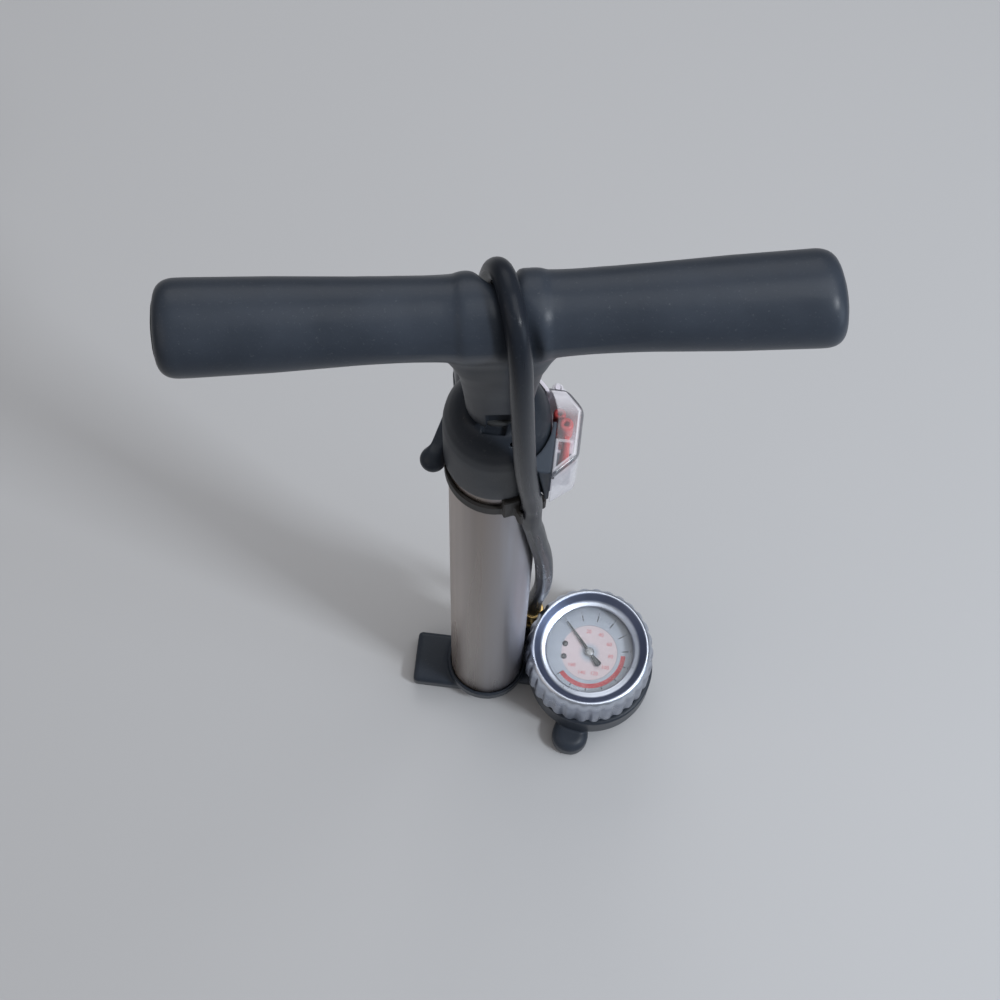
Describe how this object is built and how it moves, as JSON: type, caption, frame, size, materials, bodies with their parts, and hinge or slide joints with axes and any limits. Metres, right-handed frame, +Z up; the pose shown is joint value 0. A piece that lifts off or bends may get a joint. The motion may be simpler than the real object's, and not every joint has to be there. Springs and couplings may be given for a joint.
{
  "type": "floor bike pump",
  "caption": "Upright floor pump for bicycle tyres: T-handle on a sliding plunger, steel barrel, toed base, dial gauge, hose with a lever head, and an accessory case.",
  "frame": {"origin": "on the floor, on the barrel's axis, at the underside of the centre pad", "axes": "+X from the barrel to the gauge, +Y to the far side where the pump head is parked, +Z up along the barrel"},
  "size_m": [0.234, 0.088, 0.5527],
  "materials": {
    "charcoal_plastic": "satin bluish charcoal moulded plastic",
    "black_plastic": "matt near-black moulded plastic",
    "rubber": "smooth dark grey rubber",
    "satin_steel": "polished satin steel",
    "chrome": "bright chrome plate",
    "brass": "turned brass",
    "dial_white": "white printed dial",
    "red_plastic": "glossy red plastic",
    "clear_plastic": "clear plastic"
  },
  "bodies": {
    "base": {"base_body": "charcoal_plastic", "top_cap": "charcoal_plastic", "head_body": "charcoal_plastic", "rod_bush": "black_plastic", "hose_clip_ring": "black_plastic", "gauge_cup": "black_plastic", "dial_screw_near": "black_plastic", "dial_screw_far": "black_plastic", "head_collar": "black_plastic", "case_tray": "black_plastic", "centre_pad": "rubber", "heel_pad": "rubber", "toe_pad_near": "rubber", "toe_pad_far": "rubber", "barrel_gasket": "rubber", "buffer_ring": "rubber", "hose": "rubber", "head_boot": "rubber", "head_seal": "rubber", "barrel_tube": "satin_steel", "valve_spring": "satin_steel", "lower_ferrule": "satin_steel", "lever_pin": "satin_steel", "case_pin": "satin_steel", "ball_needle": "satin_steel", "gauge_bezel": "chrome", "valve_seat": "brass", "gauge_stem": "brass", "gauge_movement": "brass", "bourdon_tube": "brass", "outlet_fitting": "brass", "gauge_dial": "dial_white", "valve_adapter_a": "red_plastic", "valve_adapter_b": "red_plastic", "cone_nozzle": "red_plastic", "gauge_lens": "clear_plastic"},
    "valve": {"valve_poppet": "rubber"},
    "piston": {"piston": "black_plastic", "piston_ring": "rubber", "piston_screw": "satin_steel"},
    "handle": {"handle": "charcoal_plastic", "grip_plug_left": "charcoal_plastic", "grip_plug_right": "charcoal_plastic", "piston_rod": "satin_steel", "rod_pin": "satin_steel"},
    "pointer": {"gauge_pointer": "black_plastic", "gauge_spindle": "brass"},
    "lid": {"case_cover": "clear_plastic"},
    "lever": {"head_lever": "charcoal_plastic"}
  },
  "joints": [
    {"name": "pump_stroke", "type": "slide", "parent": "base", "child": "piston", "axis": [0, 0, 1], "range_m": [0, 0.36], "deforming": ["hose"]},
    {"name": "handle_turn", "type": "hinge", "parent": "piston", "child": "handle", "pos_m": [0, 0, 0.53], "axis": [0, 0, 1], "range_deg": [-10, 10], "deforming": ["hose"]},
    {"name": "valve_lift", "type": "slide", "parent": "base", "child": "valve", "axis": [0, 0, -1], "range_m": [0, 0.0015], "stiffness_N_per_m": 200, "deforming": ["valve_spring"]},
    {"name": "pointer_swing", "type": "hinge", "parent": "base", "child": "pointer", "pos_m": [0.0533, 0, 0.0597], "axis": [0, 0, -1], "range_deg": [0, 270]},
    {"name": "lid_hinge", "type": "hinge", "parent": "base", "child": "lid", "pos_m": [0.0215, 0.0173, 0.4], "axis": [0, 0, 1], "range_deg": [0, 120]},
    {"name": "lever_fold", "type": "hinge", "parent": "base", "child": "lever", "pos_m": [-0.01565, 0.03011, 0.3747], "axis": [0, 0, -1], "range_deg": [0, 110]}
  ]
}
